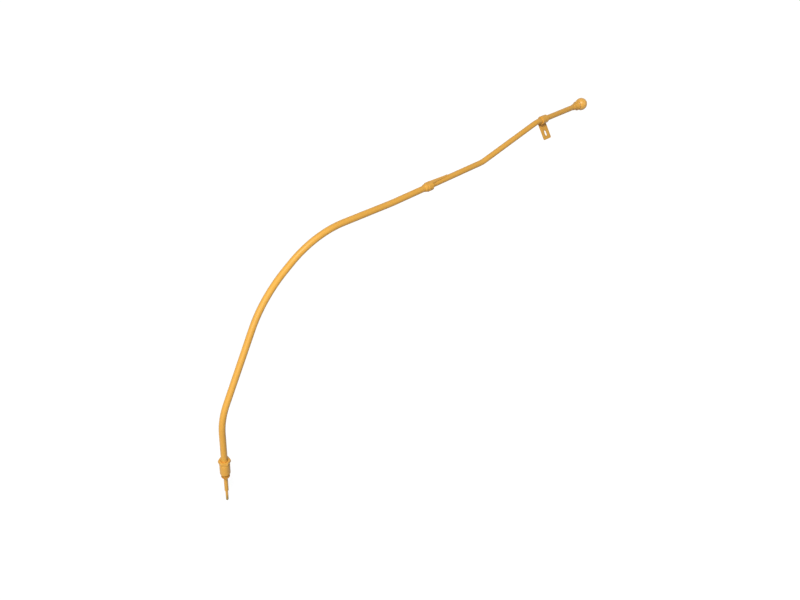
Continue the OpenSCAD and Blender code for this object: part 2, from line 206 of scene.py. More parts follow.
def fit(piece, slot, *nodes):
    """Hands a finished piece to the frame in place of its plain nodes."""
    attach(piece, "root")
    if nodes:
        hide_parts(*nodes)


def new_finish(name, colour, metallic=0.0, roughness=0.5):
    """A material with one Principled shader, and its tree ready for more nodes."""
    finish = bpy.data.materials.new(name)
    finish.use_nodes = True
    shader = finish.node_tree.nodes["Principled BSDF"]
    shader.inputs["Base Color"].default_value = (*colour, 1)
    shader.inputs["Metallic"].default_value = metallic
    shader.inputs["Roughness"].default_value = roughness
    return finish, finish.node_tree, shader


def group_with(name, taken, given):
    """A shader group with named inputs and outputs."""
    group = bpy.data.node_groups.new(name, "ShaderNodeTree")
    for label, kind, value in taken:
        socket = group.interface.new_socket(label, in_out="INPUT", socket_type="NodeSocket" + kind)
        socket.default_value = value
    for label, kind in given:
        group.interface.new_socket(label, in_out="OUTPUT", socket_type="NodeSocket" + kind)
    return group, group.nodes.new("NodeGroupInput"), group.nodes.new("NodeGroupOutput")


def add(tree, kind, **settings):
    """A shader or maths node with its settings and the values of its inputs."""
    node = tree.nodes.new("ShaderNode" + kind)
    for key, value in settings.items():
        if hasattr(node, key):
            setattr(node, key, value)
        else:
            node.inputs[key.replace("_", " ").title()].default_value = value
    return node


def film_group():
    """Sprayed film: a slow drift of its tone, a fine orange peel and an uneven gloss."""
    group, taken, out = group_with(
        "sprayed film",
        [("Colour", "Color", (1, 1, 1, 1)), ("Thin Colour", "Color", (1, 1, 1, 1)),
         ("Gloss", "Float", 0.4), ("Peel", "Float", 0.1)],
        [("Colour", "Color"), ("Roughness", "Float"), ("Normal", "Vector")],
    )
    link = group.links.new
    where = add(group, "TexCoord")
    drift = add(group, "TexNoise", scale=26, detail=3, roughness=0.55)
    speck = add(group, "TexNoise", scale=1500, detail=2, roughness=0.5)
    peel = add(group, "TexNoise", scale=300, detail=2, roughness=0.45)
    for noise in (drift, speck, peel):
        link(where.outputs["Object"], noise.inputs["Vector"])
    share = add(group, "MapRange", from_min=0.35, from_max=0.7, to_min=0, to_max=0.4)
    link(drift.outputs["Fac"], share.inputs["Value"])
    tone = add(group, "Mix", data_type="RGBA")
    link(share.outputs["Result"], tone.inputs["Factor"])
    link(taken.outputs["Colour"], tone.inputs["A"])
    link(taken.outputs["Thin Colour"], tone.inputs["B"])
    link(tone.outputs["Result"], out.inputs["Colour"])
    gloss = add(group, "MapRange", from_min=0.3, from_max=0.7)
    low = add(group, "Math", operation="SUBTRACT")
    low.inputs[1].default_value = 0.04
    high = add(group, "Math", operation="ADD")
    high.inputs[1].default_value = 0.06
    link(taken.outputs["Gloss"], low.inputs[0])
    link(taken.outputs["Gloss"], high.inputs[0])
    link(low.outputs["Value"], gloss.inputs["To Min"])
    link(high.outputs["Value"], gloss.inputs["To Max"])
    link(speck.outputs["Fac"], gloss.inputs["Value"])
    link(gloss.outputs["Result"], out.inputs["Roughness"])
    bump = add(group, "Bump", distance=0.0001)
    link(peel.outputs["Fac"], bump.inputs["Height"])
    link(taken.outputs["Peel"], bump.inputs["Strength"])
    link(bump.outputs["Normal"], out.inputs["Normal"])
    return group


def film_finish(name, colour, thin, gloss, peel):
    finish, tree, shader = new_finish(name, colour)
    film = tree.nodes.new("ShaderNodeGroup")
    film.node_tree = FILM
    film.inputs["Colour"].default_value = (*colour, 1)
    film.inputs["Thin Colour"].default_value = (*thin, 1)
    film.inputs["Gloss"].default_value = gloss
    film.inputs["Peel"].default_value = peel
    tree.links.new(film.outputs["Colour"], shader.inputs["Base Color"])
    tree.links.new(film.outputs["Roughness"], shader.inputs["Roughness"])
    tree.links.new(film.outputs["Normal"], shader.inputs["Normal"])
    return finish, tree, shader, film


FILM = film_group()
AMBER = (0.73, 0.375, 0.06)
AMBER_THIN = (0.66, 0.32, 0.04)
amber_paint, _, amber_shader, _ = film_finish("amber_paint", AMBER, AMBER_THIN, 0.42, 0.07)
amber_shader.inputs["Specular IOR Level"].default_value = 0.3
amber_shader.inputs["Coat Weight"].default_value = 0.05
amber_shader.inputs["Coat Roughness"].default_value = 0.22

SWEEP = sweep_tree()
TUBE_SIDES = 64
FERRULE_FOOT = 14
TUBE_STOP = 10
COLLAR_AT = 115
COLLAR_SOCKET = 6.5


def guide_tube(name, radius, points, node):
    piece = edge_path(name, points)
    grow(piece, SWEEP, radius=MM * radius, sides=TUBE_SIDES, closed_ends=False, finish=amber_paint)
    settle(piece)
    wall = piece.modifiers.new("wall", "SOLIDIFY")
    wall.thickness = MM * TUBE_WALL
    wall.offset = -1
    wall.use_even_offset = True
    settle(piece)
    fit(piece, "paint", node)


guide_tube(
    "lower_tube", LOWER_TUBE_R,
    route_points(0, TUBE_STOP + PRESS_GAP, COLLAR_LEG, COLLAR_AT + COLLAR_SOCKET - PRESS_GAP),
    "lower_guide_tube",
)

# ---------------------------------------------------------------------------
# Block adapter
# Turned steel fitting with a round body, a sealing seat and a pipe thread that
# screws into the block. A key in the hexagon of its bore turns it in, and a
# shallow relief groove runs round its top.

LATHE_SIDES = 96


def softened(section, radius, steps=4):
    """A half section with its corners rounded, and a close row beside each arc."""
    count = len(section)
    soft = []
    for i, (r, z) in enumerate(section):
        here = Vector((r, z))
        back = Vector(section[i - 1]) - here
        ahead = Vector(section[(i + 1) % count]) - here
        angle = back.angle(ahead) if back.length and ahead.length else pi
        if r == 0 or angle > radians(165):
            soft.append((r, z))
            continue
        reach = min(radius / tan(angle / 2), 0.42 * back.length, 0.42 * ahead.length)
        row = min(0.3 * reach, 0.08)
        first, last = here + reach * back.normalized(), here + reach * ahead.normalized()
        soft.append(tuple(first + row * back.normalized()))
        for step in range(steps + 1):
            t = step / steps
            soft.append(tuple(first.lerp(here, t).lerp(here.lerp(last, t), t)))
        soft.append(tuple(last + row * ahead.normalized()))
    return soft


def hexagon(flat, height, turned_by=0):
    """A row of a six-sided section: its flats face +X where turned_by is zero."""
    return lambda a: (flat / cos((a + radians(30 - turned_by)) % (pi / 3) - pi / 6), height)


def turned(name, section, place, finish, sides=LATHE_SIDES, sharp=40):
    """Turned piece from a closed half section in mm. A row may be a function of the angle."""
    shell = bmesh.new()
    rings = []
    for row in section:
        at = row if callable(row) else (lambda a, row=row: row)
        ring = []
        for k in range(sides):
            angle = 2 * pi * k / sides
            r, z = at(angle)
            ring.append(shell.verts.new(MM * (place @ Vector((r * cos(angle), r * sin(angle), z)))))
            if r == 0:
                break
        rings.append(ring)
    for low, high in zip(rings, rings[1:] + rings[:1]):
        if len(low) == len(high) == 1:
            continue
        for k in range(sides):
            corners = [low[k % len(low)], low[(k + 1) % len(low)]]
            corners += [high[(k + 1) % len(high)], high[k % len(high)]]
            shell.faces.new(list(dict.fromkeys(corners)))
    bmesh.ops.recalc_face_normals(shell, faces=shell.faces)
    mesh = bpy.data.meshes.new(name)
    shell.to_mesh(mesh)
    shell.free()
    mesh.materials.append(finish)
    mesh.shade_smooth()
    mesh.set_sharp_from_angle(angle=radians(sharp))
    return stand(name, mesh)


def spiral_tree():
    """A thread's ridge, carried up a helix and joined to what it is cut on."""
    tree = bpy.data.node_groups.new("thread ridge", "GeometryNodeTree")
    taken, out = inputs_of(tree, {
        "Radius": "Float", "Length": "Float", "Turns": "Float", "Start": "Vector",
        "Foot": "Float", "Crest": "Float", "Depth": "Float", "Finish": "Material",
    })
    link = tree.links.new
    helix = shape_node(tree, "CurveSpiral")
    helix.inputs["Resolution"].default_value = 64
    upright = shape_node(tree, "SetCurveNormal")
    upright.mode = "Z_UP"
    form = shape_node(tree, "CurvePrimitiveQuadrilateral")
    form.mode = "TRAPEZOID"
    form.inputs["Offset"].default_value = 0
    skin = shape_node(tree, "CurveToMesh")
    skin.inputs["Fill Caps"].default_value = True
    shift = shape_node(tree, "Transform")
    both = shape_node(tree, "JoinGeometry")
    link(taken.outputs["Turns"], helix.inputs["Rotations"])
    link(taken.outputs["Radius"], helix.inputs["Start Radius"])
    link(taken.outputs["Radius"], helix.inputs["End Radius"])
    link(taken.outputs["Length"], helix.inputs["Height"])
    link(taken.outputs["Foot"], form.inputs["Bottom Width"])
    link(taken.outputs["Crest"], form.inputs["Top Width"])
    link(taken.outputs["Depth"], form.inputs["Height"])
    link(helix.outputs["Curve"], upright.inputs["Curve"])
    link(upright.outputs["Curve"], skin.inputs["Curve"])
    link(form.outputs["Curve"], skin.inputs["Profile Curve"])
    link(skin.outputs["Mesh"], shift.inputs["Geometry"])
    link(taken.outputs["Start"], shift.inputs["Translation"])
    link(shift.outputs["Geometry"], both.inputs["Geometry"])
    link(taken.outputs["Geometry"], both.inputs["Geometry"])
    close_tree(tree, taken, both.outputs["Geometry"], out)
    return tree


BODY_R = 13
BODY_H = 37
THREAD_R = 10.48
THREAD_L = 15
THREAD_PITCH = 1.814
THREAD_DEPTH = 1.16
THREAD_LEAD, THREAD_END = 1.2, 2
THREAD_FOOT, THREAD_CREST = 1.5, 0.3
EDGE = 1
SEAL_IN, SEAL_OUT, SEAL_H = 11.08, 11.98, 1.3
GLAND_R = 11
GLAND_FLOOR = 20
TUBE_HOLE_R = 8.15
DROP_R = 5
DROP_TOP = -2
DROP_BORE_R = 4
SOCKET_FLOOR = 3
SOCKET_FLAT = 5.5
CONE_TOP_R, CONE_FOOT_R = 9.72, 8.44
RELIEF_R = 12.1
RELIEF_LOW, RELIEF_TOP = 30.4, 35

root_r = THREAD_R - THREAD_DEPTH
outside = softened([
    (DROP_R + PRESS_GAP, -THREAD_L), (root_r - 0.6, -THREAD_L), (root_r, 0.6 - THREAD_L), (root_r, 0),
    (SEAL_IN, 0), (SEAL_IN, SEAL_H), (SEAL_OUT, SEAL_H), (SEAL_OUT, 0),
    (BODY_R - EDGE / 2, 0), (BODY_R, EDGE / 2), (BODY_R, RELIEF_LOW), (RELIEF_R, RELIEF_LOW + 1),
    (RELIEF_R, RELIEF_TOP), (BODY_R, RELIEF_TOP + 0.5), (BODY_R, BODY_H - EDGE), (BODY_R - EDGE, BODY_H),
    (GLAND_R + BRAZE_GAP, BODY_H), (GLAND_R + BRAZE_GAP, GLAND_FLOOR), (CONE_TOP_R, GLAND_FLOOR),
    (CONE_FOOT_R, FERRULE_FOOT), (TUBE_HOLE_R, FERRULE_FOOT), (TUBE_HOLE_R, TUBE_STOP),
], 0.25)
inside = [
    hexagon(SOCKET_FLAT, TUBE_STOP, 30), hexagon(SOCKET_FLAT, SOCKET_FLOOR, 30),
    (DROP_BORE_R, SOCKET_FLOOR), (DROP_BORE_R, DROP_TOP), (DROP_R + PRESS_GAP, DROP_TOP),
]
adapter = turned("adapter_body", outside + inside, Matrix(), amber_paint)
ridge_l = THREAD_L - THREAD_LEAD - THREAD_END
grow(
    adapter, spiral_tree(), radius=MM * (root_r + THREAD_DEPTH / 2 - 0.03), length=MM * ridge_l,
    turns=ridge_l / THREAD_PITCH, start=(0, 0, MM * (THREAD_LEAD - THREAD_L)), foot=MM * THREAD_FOOT,
    crest=MM * THREAD_CREST, depth=MM * THREAD_DEPTH, finish=amber_paint,
)
settle(adapter)
fit(adapter, "paint", "block_adapter")

# ---------------------------------------------------------------------------
# Port seal
# Moulded rubber ring, square in section, that sits in the groove of the seat
# and is squeezed on the face of the block.

rubber_finish, rubber_tree, rubber_shader = new_finish("seal_rubber", (0.035, 0.035, 0.038), 0, 0.62)
grain = add(rubber_tree, "TexNoise", scale=2400, detail=3, roughness=0.6)
rubber_tree.links.new(add(rubber_tree, "TexCoord").outputs["Object"], grain.inputs["Vector"])
rubber_bump = add(rubber_tree, "Bump", strength=0.3, distance=0.00005)
rubber_tree.links.new(grain.outputs["Fac"], rubber_bump.inputs["Height"])
rubber_tree.links.new(rubber_bump.outputs["Normal"], rubber_shader.inputs["Normal"])
rubber_tone = add(rubber_tree, "ValToRGB")
rubber_tone.color_ramp.elements[0].color = (0.028, 0.028, 0.03, 1)
rubber_tone.color_ramp.elements[1].color = (0.05, 0.05, 0.052, 1)
rubber_tree.links.new(grain.outputs["Fac"], rubber_tone.inputs["Fac"])
rubber_tree.links.new(rubber_tone.outputs["Color"], rubber_shader.inputs["Base Color"])


def seal_ring(name, inner, outer, height, place, node):
    section = softened([(inner, 0), (outer, 0), (outer, height), (inner, height)], 0.2)
    fit(turned(name, section, place, rubber_finish), "rubber", node)


seal_ring("port_ring", SEAL_IN + PRESS_GAP, SEAL_OUT - PRESS_GAP, SEAL_H - PRESS_GAP, Matrix(), "port_seal")

# ---------------------------------------------------------------------------
# Compression ferrule
# Turned brass ring with a long and a short taper. The gland nut squeezes it
# on the tube and into the cone of the adapter.


def metal_finish(name, colour, worn, roughness, lines):
    """Bare metal with fine lathe lines round its own axis."""
    finish, tree, shader = new_finish(name, colour, 1.0, roughness)
    where = add(tree, "TexCoord")
    turning = add(tree, "TexNoise", scale=1, detail=4, roughness=0.6)
    squeeze = add(tree, "Mapping", scale=lines)
    tree.links.new(where.outputs["Object"], squeeze.inputs["Vector"])
    tree.links.new(squeeze.outputs["Vector"], turning.inputs["Vector"])
    tone = add(tree, "ValToRGB")
    tone.color_ramp.elements[0].color = (*worn, 1)
    tone.color_ramp.elements[1].color = (*colour, 1)
    tree.links.new(turning.outputs["Fac"], tone.inputs["Fac"])
    tree.links.new(tone.outputs["Color"], shader.inputs["Base Color"])
    scratch = add(tree, "Bump", strength=0.25, distance=0.00003)
    tree.links.new(turning.outputs["Fac"], scratch.inputs["Height"])
    tree.links.new(scratch.outputs["Normal"], shader.inputs["Normal"])
    return finish


brass_finish = metal_finish("turned_brass", (0.78, 0.6, 0.28), (0.6, 0.45, 0.2), 0.3, (60, 60, 2600))
FERRULE_R = 9.7
FERRULE_FOOT_R, FERRULE_TOP_R = 8.42, 8.5
FERRULE_RISE = 1.18
NUT_TIP = GLAND_FLOOR + 1
ferrule = turned("squeezed_ferrule", softened([
    (LOWER_TUBE_R + PRESS_GAP, FERRULE_FOOT + PRESS_GAP), (FERRULE_FOOT_R, FERRULE_FOOT + PRESS_GAP),
    (FERRULE_R, GLAND_FLOOR), (FERRULE_R, NUT_TIP - PRESS_GAP), (FERRULE_TOP_R, NUT_TIP + FERRULE_RISE),
    (LOWER_TUBE_R + PRESS_GAP, NUT_TIP + FERRULE_RISE),
], 0.12), Matrix(), brass_finish)
fit(ferrule, "brass", "compression_ferrule")

# ---------------------------------------------------------------------------
# Tube nut
# Steel gland nut, hexagon above and a male thread below, run down on the tube
# to squeeze the ferrule. Its corners are chamfered at both ends.

NUT_FLAT = 13.5
HEX_BASE = BODY_H + 0.3
HEX_TOP = HEX_BASE + 8
TIP_CHAMFER = 0.6
NUT_CONE_H = 1.55
crown_slope = tan(radians(30))


def crowned(height, side):
    """The curved edge that a 30 degree chamfer leaves on the six flats."""
    def at(a):
        r, _ = hexagon(NUT_FLAT, 0)(a)
        return r, height - side * (r - NUT_FLAT) * crown_slope
    return at


nut = turned("gland_nut", [
    (TUBE_HOLE_R + EDGE, HEX_TOP), (NUT_FLAT, HEX_TOP), crowned(HEX_TOP, 1), crowned(HEX_BASE, -1),
    (NUT_FLAT, HEX_BASE), (GLAND_R, HEX_BASE), (GLAND_R, NUT_TIP + TIP_CHAMFER),
    (GLAND_R - TIP_CHAMFER, NUT_TIP),
    (FERRULE_R + PRESS_GAP, NUT_TIP), (TUBE_HOLE_R, NUT_TIP + NUT_CONE_H), (TUBE_HOLE_R, HEX_TOP - EDGE),
], Matrix(), amber_paint)
soft_edge = nut.modifiers.new("edges", "BEVEL")
soft_edge.width = MM * 0.35
soft_edge.segments = 3
soft_edge.limit_method = "ANGLE"
soft_edge.angle_limit = radians(24)
soft_edge.harden_normals = True
settle(nut)
fit(nut, "paint", "tube_nut")

# ---------------------------------------------------------------------------
# Drop pipe
# Thin steel pipe pressed into the adapter. It keeps the gauge straight on its
# way down into the sump.

DROP_REACH = 67
pipe = turned("oil_drop_pipe", softened([
    (DROP_BORE_R, -DROP_REACH), (DROP_R, -DROP_REACH), (DROP_R, DROP_TOP - PRESS_GAP),
    (DROP_BORE_R, DROP_TOP - PRESS_GAP),
], 0.35), Matrix(), amber_paint, sides=64)
fit(pipe, "paint", "drop_pipe")

# ---------------------------------------------------------------------------
# Joint collar
# Turned steel socket brazed on the end of the lower tube. The upper tube slips
# into its other end, and a slot is milled across it and its hub for the strap.

COLLAR_R = 12
COLLAR_L = 16
COLLAR_WEB_R = 6
JOINT_SEAL_T = 1.5
SLIP_GAP = 0.15
seal_start = COLLAR_SOCKET + 1.5
collar_place = on_leg(COLLAR_LEG, COLLAR_AT)
collar = turned("collar_socket", softened([
    (LOWER_TUBE_R + BRAZE_GAP, 0), (COLLAR_R - EDGE, 0), (COLLAR_R, EDGE), (COLLAR_R, COLLAR_L - EDGE),
    (COLLAR_R - EDGE, COLLAR_L), (UPPER_TUBE_R + SLIP_GAP, COLLAR_L), (UPPER_TUBE_R + SLIP_GAP, seal_start),
    (COLLAR_WEB_R, seal_start), (COLLAR_WEB_R, COLLAR_SOCKET), (LOWER_TUBE_R + BRAZE_GAP, COLLAR_SOCKET),
], 0.3), collar_place, amber_paint)

STRAP_LIFT = 8.9
STRAP_ROOT = 10.5
slot_half = STRAP_ROOT / 2 + SLIP_GAP


def mill(piece, upward, across, along):
    """Cuts a box out of a turned piece, given by its limits in mm on the collar's axes."""
    cutter = stand("mill_cut", bpy.data.meshes.new("mill_cut"))
    block = bmesh.new()
    bmesh.ops.create_cube(block, size=1)
    for vertex in block.verts:
        limits = zip(vertex.co, (upward, across, along))
        local = Vector([low + (part + 0.5) * (high - low) for part, (low, high) in limits])
        vertex.co = MM * (collar_place @ local)
    bmesh.ops.recalc_face_normals(block, faces=block.faces)
    block.to_mesh(cutter.data)
    block.free()
    milled = piece.modifiers.new("slot", "BOOLEAN")
    milled.operation = "DIFFERENCE"
    milled.solver = "EXACT"
    milled.object = cutter
    settle(piece, sharp=30)
    bpy.data.objects.remove(cutter)


slot_low = STRAP_LIFT - BRAZE_GAP
mill(collar, (slot_low, slot_low + 12), (-slot_half, slot_half), (-1, COLLAR_L + 1))
fit(collar, "paint", "joint_collar")


def braze_fillet(name, radius, size, place, backward=False):
    """Ring of brazing metal run in the corner between a tube and a face."""
    side = -1 if backward else 1
    sunk = 0.1
    section = [(radius - sunk, -side * sunk), (radius + size, -side * sunk)]
    for a in (radians(15 * k) for k in range(7)):
        section.append((radius + size * (1 - sin(a)), side * size * (1 - cos(a))))
    section.append((radius - sunk, side * size))
    piece = turned(name, section, place, amber_paint, sides=72, sharp=60)
    fit(piece, "paint")


HUB_L = 9
HUB_NEAR_R = 9.1
HUB_FAR_R = 10.4
HUB_FILLET = 1
HOOK_ROOM = 1.7
HOOK_LOW = 4.3
hub_end = -BRAZE_GAP
hub = turned("collar_hub", softened([
    (LOWER_TUBE_R + BRAZE_GAP, -HUB_L), (HUB_NEAR_R, -HUB_L), (HUB_FAR_R, -HUB_L / 2), (HUB_FAR_R, hub_end),
    (LOWER_TUBE_R + BRAZE_GAP, hub_end),
], 0.5), collar_place, amber_paint)
mill(hub, (HOOK_LOW, HOOK_LOW + 12), (-slot_half, slot_half), (-HOOK_ROOM, 1))
fit(hub, "paint")
braze_fillet("collar_braze", LOWER_TUBE_R, HUB_FILLET, on_leg(COLLAR_LEG, COLLAR_AT - HUB_L), backward=True)

# ---------------------------------------------------------------------------
# Joint seal
# Flat rubber ring on the web of the collar. The end of the upper tube is
# pulled down on it by the strap.

seal_ring(
    "collar_washer", UPPER_TUBE_R - TUBE_WALL, UPPER_TUBE_R, JOINT_SEAL_T - 2 * PRESS_GAP,
    on_leg(COLLAR_LEG, COLLAR_AT + seal_start + PRESS_GAP), "joint_seal",
)

# ---------------------------------------------------------------------------
# Upper guide tube
# Drawn steel tube, 15 mm across, from the collar to the funnel at the mouth,
# with two sharp bends on either side of the rise.

FUNNEL_L = 18
FUNNEL_SOCKET = 9
funnel_start = RUNS[MOUTH_LEG] - FUNNEL_L
guide_tube(
    "upper_tube", UPPER_TUBE_R,
    route_points(
        COLLAR_LEG, COLLAR_AT + seal_start + JOINT_SEAL_T,
        MOUTH_LEG, funnel_start + FUNNEL_SOCKET - PRESS_GAP,
    ),
    "upper_guide_tube",
)

# ---------------------------------------------------------------------------
# Joint strap
# Spring steel strip brazed on the upper tube. It lies in the slot of the
# collar and its forked end hooks down over the collar's near face. A wedge of
# brazing metal fills the room under its ramp.

STRAP_T = 1.5
STRAP_TIP = 6
STRAP_REACH = 59
STRAP_FOOT = 8


def strap_line():
    """Middle of the strip as (height, distance), from the fork to the brazed foot."""
    over = STRAP_LIFT + STRAP_T / 2
    foot = UPPER_TUBE_R + BRAZE_GAP + STRAP_T / 2
    near = -BRAZE_GAP - STRAP_T / 2
    bend = 1.1
    hook = 2.4
    line = [(over - bend - hook * (1 - k / 6), near) for k in range(6)]
    for a in (radians(15 * k) for k in range(7)):
        line.append((over - bend + bend * sin(a), near + bend - bend * cos(a)))
    ramp_start, ramp_end = COLLAR_L + 2 * STRAP_T, COLLAR_L + STRAP_REACH - STRAP_FOOT
    line += [(over, z) for z in (2, 5, 8, 11, 14, 16, 17.5)]
    for k in range(25):
        t = k / 24
        drop = 0.25 * t * t * (3 - 2 * t) + 0.75 * t
        line.append((over + (foot - over) * drop, ramp_start + (ramp_end - ramp_start) * t))
    line += [(foot, ramp_end + STRAP_FOOT * k / 8) for k in range(1, 9)]
    return line


def strap_half_width(z):
    tip = COLLAR_L + STRAP_REACH
    root, end = STRAP_ROOT / 2, STRAP_TIP / 2
    if z <= COLLAR_L:
        return root
    share = (z - COLLAR_L) / (tip - COLLAR_L)
    width = root + (end - root) * share
    left = tip - z
    if left < end:
        width *= max(0.35, sqrt(1 - (1 - left / end) ** 2))
    return width


columns = 15
strip = bmesh.new()
line = strap_line()
rows = []
for x, z in line:
    half = strap_half_width(z)
    row = []
    for k in range(columns):
        y = half * (2 * k / (columns - 1) - 1)
        up = max(x, sqrt(TUBE_HOLE_R ** 2 - y * y)) if z < 0 else x
        row.append(strip.verts.new(MM * (collar_place @ Vector((up, y, z)))))
    rows.append(row)
for low, high in zip(rows, rows[1:]):
    for k in range(columns - 1):
        quad = [low[k], low[k + 1], high[k + 1], high[k]]
        strip.faces.new(quad)
strap_mesh = bpy.data.meshes.new("hooked_strap")
bmesh.ops.remove_doubles(strip, verts=strip.verts, dist=2e-5)
strip.to_mesh(strap_mesh)
strip.free()
strap_mesh.materials.append(amber_paint)
strap = stand("hooked_strap", strap_mesh)
sheet = strap.modifiers.new("sheet", "SOLIDIFY")
sheet.thickness = MM * STRAP_T
sheet.offset = 0
sheet.use_even_offset = True
rim = strap.modifiers.new("edges", "BEVEL")
rim.width = MM * 0.3
rim.segments = 3
rim.limit_method = "ANGLE"
rim.angle_limit = radians(50)
rim.harden_normals = True
settle(strap, sharp=50)
fit(strap, "paint", "joint_strap")

# Brazing metal that fills the wedge between the ramp and the tube, short of the strap's edges
BED_INSET = 0.1
BED_R = UPPER_TUBE_R - 0.3
bed_ends = (COLLAR_L + 0.6, COLLAR_L + STRAP_REACH - STRAP_FOOT)
ramp = [(x - STRAP_T / 2 - PRESS_GAP, z) for x, z in line if bed_ends[0] < z <= bed_ends[1]]
bed_shell = bmesh.new()
bed_rows = []
for under, z in ramp:
    half = strap_half_width(z) - BED_INSET
    across = [half * (k / 4 - 1) for k in range(9)]
    section = [(sqrt(BED_R ** 2 - y * y), y) for y in across] + [(under, y) for y in reversed(across)]
    bed_rows.append([bed_shell.verts.new(MM * (collar_place @ Vector((x, y, z)))) for x, y in section])
for low, high in zip(bed_rows, bed_rows[1:]):
    for k in range(len(low)):
        bed_shell.faces.new([low[k - 1], low[k], high[k], high[k - 1]])
bed_shell.faces.new(bed_rows[0])
bed_shell.faces.new(bed_rows[-1])
bed_mesh = bpy.data.meshes.new("strap_bed")
bed_shell.to_mesh(bed_mesh)
bed_shell.free()
bed_mesh.materials.append(amber_paint)
strap_bed = stand("strap_bed", bed_mesh)
settle(strap_bed)
fit(strap_bed, "paint")

# ---------------------------------------------------------------------------
# Bracket sleeve
# Short thick ring of turned steel, brazed round the upper tube at both ends.
# It carries the bracket plate.

SLEEVE_R = 11.25
SLEEVE_L = 22
BRACKET_AT = 19
UPPER_FILLET = 0.9
sleeve = turned("bracket_ring", softened([
    (UPPER_TUBE_R + BRAZE_GAP, 0), (SLEEVE_R - EDGE / 2, 0), (SLEEVE_R, EDGE / 2),
    (SLEEVE_R, SLEEVE_L - EDGE / 2), (SLEEVE_R - EDGE / 2, SLEEVE_L), (UPPER_TUBE_R + BRAZE_GAP, SLEEVE_L),
], 0.35), on_leg(MOUTH_LEG, BRACKET_AT), amber_paint)
fit(sleeve, "paint", "bracket_sleeve")
braze_fillet("ring_braze_near", UPPER_TUBE_R, UPPER_FILLET, on_leg(MOUTH_LEG, BRACKET_AT), backward=True)
braze_fillet("ring_braze_far", UPPER_TUBE_R, UPPER_FILLET, on_leg(MOUTH_LEG, BRACKET_AT + SLEEVE_L))

# ---------------------------------------------------------------------------
# Bracket plate
# Steel plate, 3 mm thick, cut with a bolt slot and rounded corners, and welded
# along both sides of the line where it touches the sleeve.

PLATE_W = 30
PLATE_T = 3
PLATE_REACH = 54
PLATE_LAP = 4
PLATE_LEAN = 37.7
PLATE_CORNER = 4
SLOT_W = 9
SLOT_L = 16
SLOT_INSET = 17


def arc(centre, radius, start, stop, steps=10):
    return [
        (centre[0] + radius * cos(radians(start + (stop - start) * k / steps)),
         centre[1] + radius * sin(radians(start + (stop - start) * k / steps)))
        for k in range(steps + 1)
    ]


outline = [(PLATE_LAP, 0), (PLATE_LAP, PLATE_W)]
outline += arc((PLATE_CORNER - PLATE_REACH, PLATE_W - PLATE_CORNER), PLATE_CORNER, 90, 180)
outline += arc((PLATE_CORNER - PLATE_REACH, PLATE_CORNER), PLATE_CORNER, 180, 270)
half_run = (SLOT_L - SLOT_W) / 2
slot_x = SLOT_INSET - PLATE_REACH
bolt_slot = arc((slot_x + half_run, PLATE_W / 2), SLOT_W / 2, -90, 90, 16)
bolt_slot += arc((slot_x - half_run, PLATE_W / 2), SLOT_W / 2, 90, 270, 16)
plate_edge = 0.3
plate_curve = bpy.data.curves.new("slotted_plate", "CURVE")
plate_curve.dimensions = "2D"
plate_curve.fill_mode = "BOTH"
plate_curve.extrude = MM * (PLATE_T / 2 - plate_edge)
plate_curve.bevel_depth = MM * plate_edge
plate_curve.bevel_resolution = 2
plate_curve.offset = -MM * plate_edge
for loop in (outline, bolt_slot):
    spline = plate_curve.splines.new("POLY")
    spline.points.add(len(loop) - 1)
    spline.use_cyclic_u = True
    for point, (x, y) in zip(spline.points, loop):
        point.co = (MM * x, MM * y, 0, 1)
plate_shape = stand("plate_shape", plate_curve)
bpy.context.view_layer.update()
plate_mesh = bpy.data.meshes.new_from_object(plate_shape.evaluated_get(bpy.context.evaluated_depsgraph_get()))
bpy.data.objects.remove(plate_shape)
plate_place = (
    on_leg(MOUTH_LEG, BRACKET_AT)
    @ Matrix.Rotation(radians(-PLATE_LEAN), 4, "Z")
    @ Matrix.Translation((0, -SLEEVE_R - BRAZE_GAP, 0))
    @ Matrix.Rotation(radians(90), 4, "X")
    @ Matrix.Translation((0, 0, PLATE_T / 2))
)
for vertex in plate_mesh.vertices:
    vertex.co = MM * (plate_place @ (vertex.co / MM))
plate_mesh.materials.clear()
plate_mesh.materials.append(amber_paint)
plate = stand("slotted_plate", plate_mesh)
settle(plate, sharp=50)
fit(plate, "paint", "bracket_plate")


